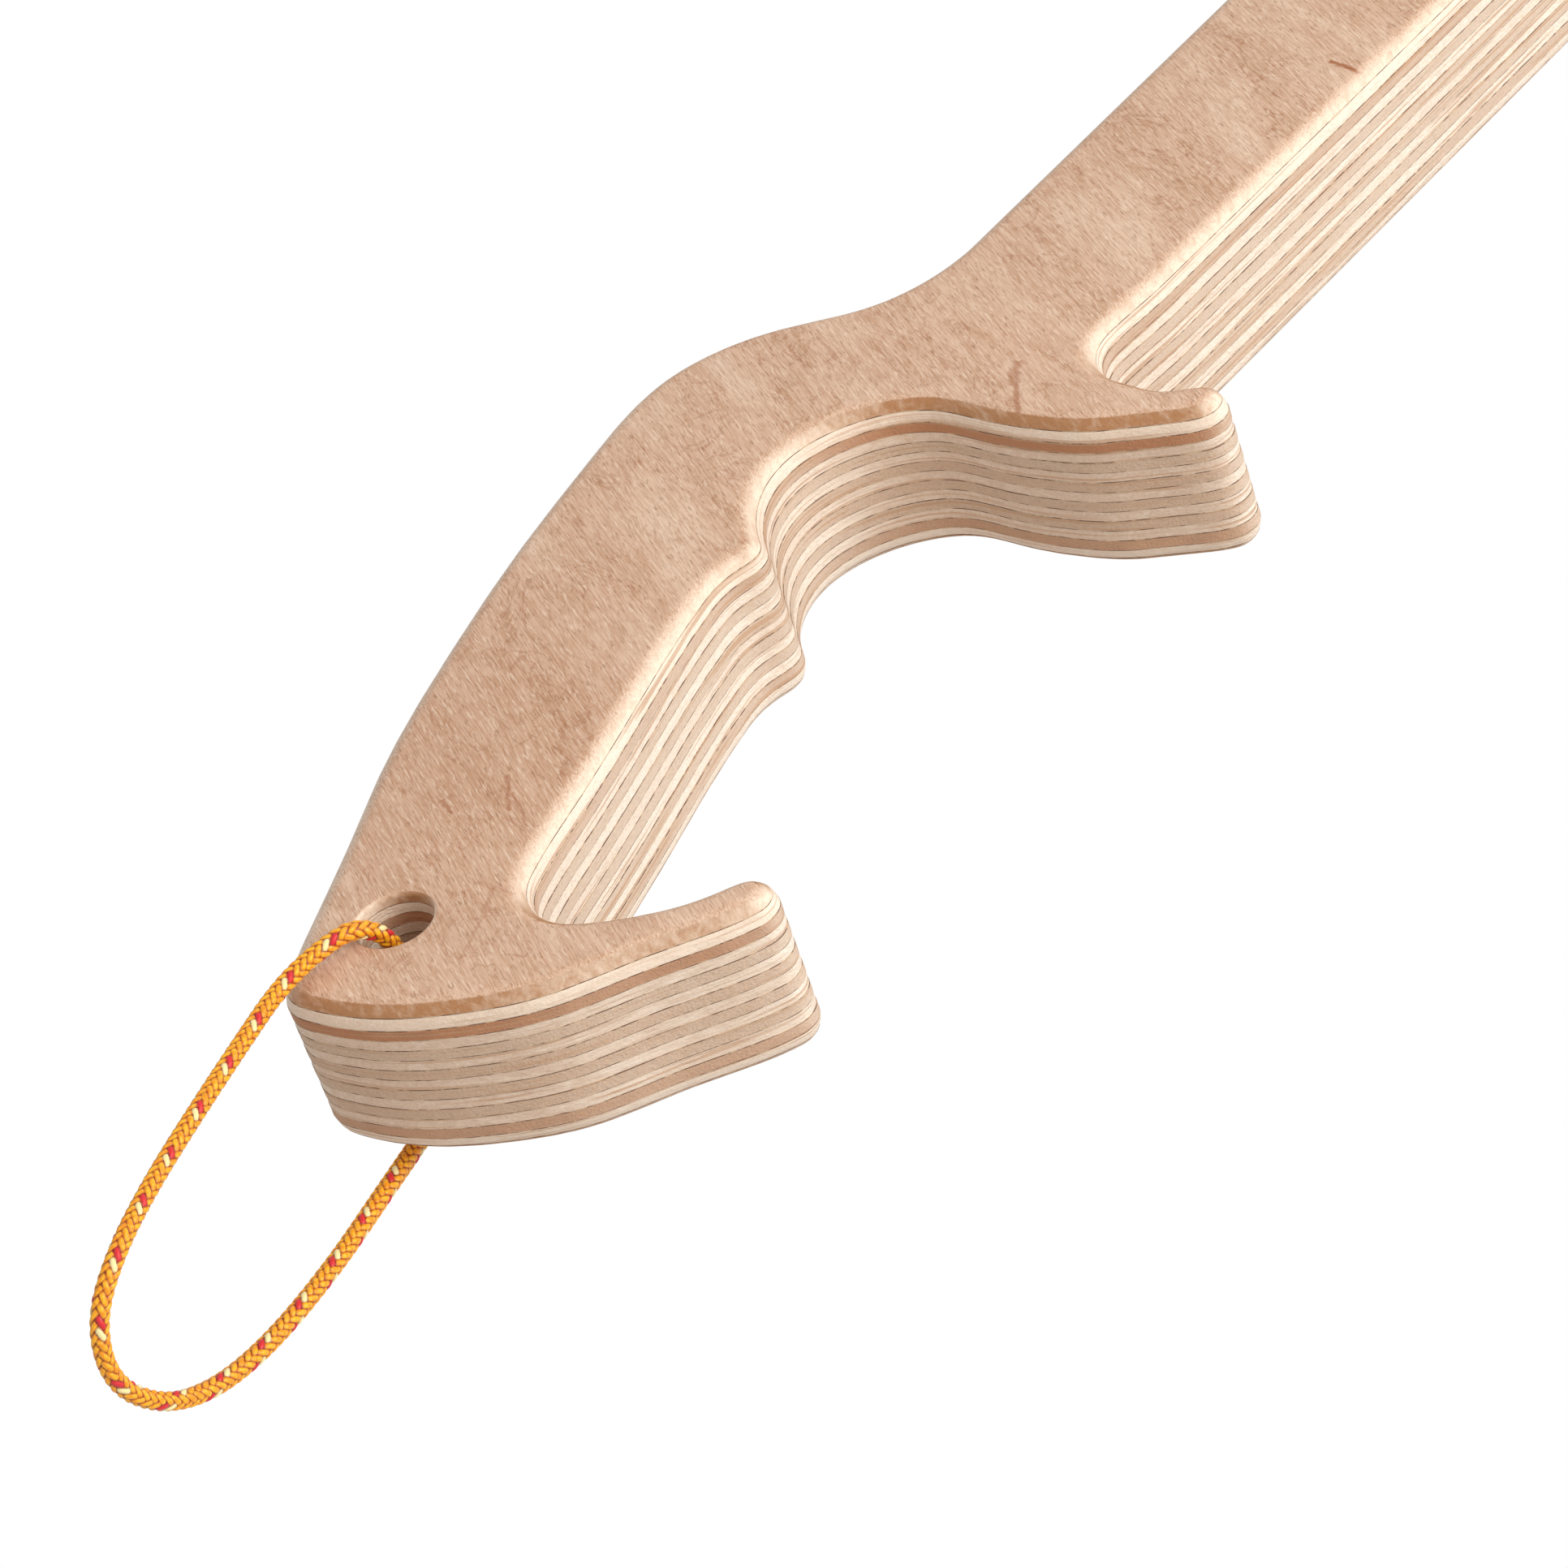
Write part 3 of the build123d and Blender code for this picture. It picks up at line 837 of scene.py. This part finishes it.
class AXE_OT_stage(bpy.types.Operator):
    """Sets the pale floor, the white room, the soft lights and the camera"""

    bl_idname = "axe.stage"
    bl_label = "Stage"

    def execute(self, context):
        stage = context.scene.axe_stage
        corners = np.array([(-1, -1, 0), (1, -1, 0), (1, 1, 0), (-1, 1, 0)]) * FLOOR_REACH
        corners[:, 2] = -stage.floor_drop
        paper = new_material(
            "matt_white_paper", lambda tree: {"Base Color": stage.floor_tint, "Roughness": 0.9})
        make_piece("floor", corners, [(0, 1, 2, 3)], paper)

        room = bpy.data.worlds.new("white_room")
        room.use_nodes = True
        sky = room.node_tree
        sky.nodes.clear()
        seen = add(sky, "Background", {"Color": (1.0, 1.0, 1.0, 1.0), "Strength": 1.0})
        aside = add(sky, "VectorMath", {
            "operation": "DOT_PRODUCT", 0: add(sky, "TexCoord", out="Generated"), 1: BRIGHT_SIDE}, "Value")
        glow = add(sky, "MapRange", {
            0: aside, 1: -1, 2: 1, 3: DIM_SHARE * stage.room_light, 4: BRIGHT_SHARE * stage.room_light})
        lit = add(sky, "Background", {"Color": (1.0, 0.985, 0.97, 1.0), "Strength": glow})
        direct = add(sky, "LightPath", out="Is Camera Ray")
        add(sky, "OutputWorld", {"Surface": add(sky, "MixShader", {0: direct, 1: lit, 2: seen})})
        context.scene.world = room
        context.scene.view_settings.view_transform = "Standard"

        add_light("key", KEY_PLACE, LIGHT_AIM, KEY_SIZE, stage.key_power, stage.key_tint)
        add_light("fill", FILL_PLACE, LIGHT_AIM, FILL_SIZE, stage.fill_power, stage.fill_tint)

        lens = bpy.data.cameras.new("camera")
        lens.sensor_width = 36.0
        lens.lens = CAMERA_LENS
        lens.clip_start, lens.clip_end = 0.01, 20.0
        camera = bpy.data.objects.new("camera", lens)
        camera.matrix_world = look_from(CAMERA_PLACE, CAMERA_AIM, CAMERA_UP)
        context.scene.collection.objects.link(camera)
        context.scene.camera = camera
        return {"FINISHED"}


class AXE_PT_panel(bpy.types.Panel):
    """Lists the axe's operators and their settings"""

    bl_idname = "AXE_PT_panel"
    bl_label = "Training Axe"
    bl_space_type = "VIEW_3D"
    bl_region_type = "UI"
    bl_category = "Training Axe"

    def draw(self, context):
        groups = (
            (context.scene.axe_board, (AXE_OT_plies, AXE_OT_glue)),
            (context.scene.axe_cord, (AXE_OT_lanyard,)),
            (context.scene.axe_stage, (AXE_OT_stage,)),
        )
        for settings, operators in groups:
            box = self.layout.box()
            for key in settings.bl_rna.properties.keys():
                if key not in ("rna_type", "name"):
                    box.prop(settings, key)
            for operator in operators:
                box.operator(operator.bl_idname)


CLASSES = (
    BoardSettings, CordSettings, StageSettings,
    AXE_OT_plies, AXE_OT_glue, AXE_OT_lanyard, AXE_OT_stage, AXE_PT_panel,
)


def register():
    for item in CLASSES:
        bpy.utils.register_class(item)
    bpy.types.Scene.axe_board = bpy.props.PointerProperty(type=BoardSettings)
    bpy.types.Scene.axe_cord = bpy.props.PointerProperty(type=CordSettings)
    bpy.types.Scene.axe_stage = bpy.props.PointerProperty(type=StageSettings)


def unregister():
    del bpy.types.Scene.axe_board, bpy.types.Scene.axe_cord, bpy.types.Scene.axe_stage
    for item in reversed(CLASSES):
        bpy.utils.unregister_class(item)


def main():
    register()
    bpy.ops.axe.plies()
    bpy.ops.axe.glue()
    bpy.ops.axe.lanyard()
    bpy.ops.axe.stage()


if __name__ == "__main__":
    main()
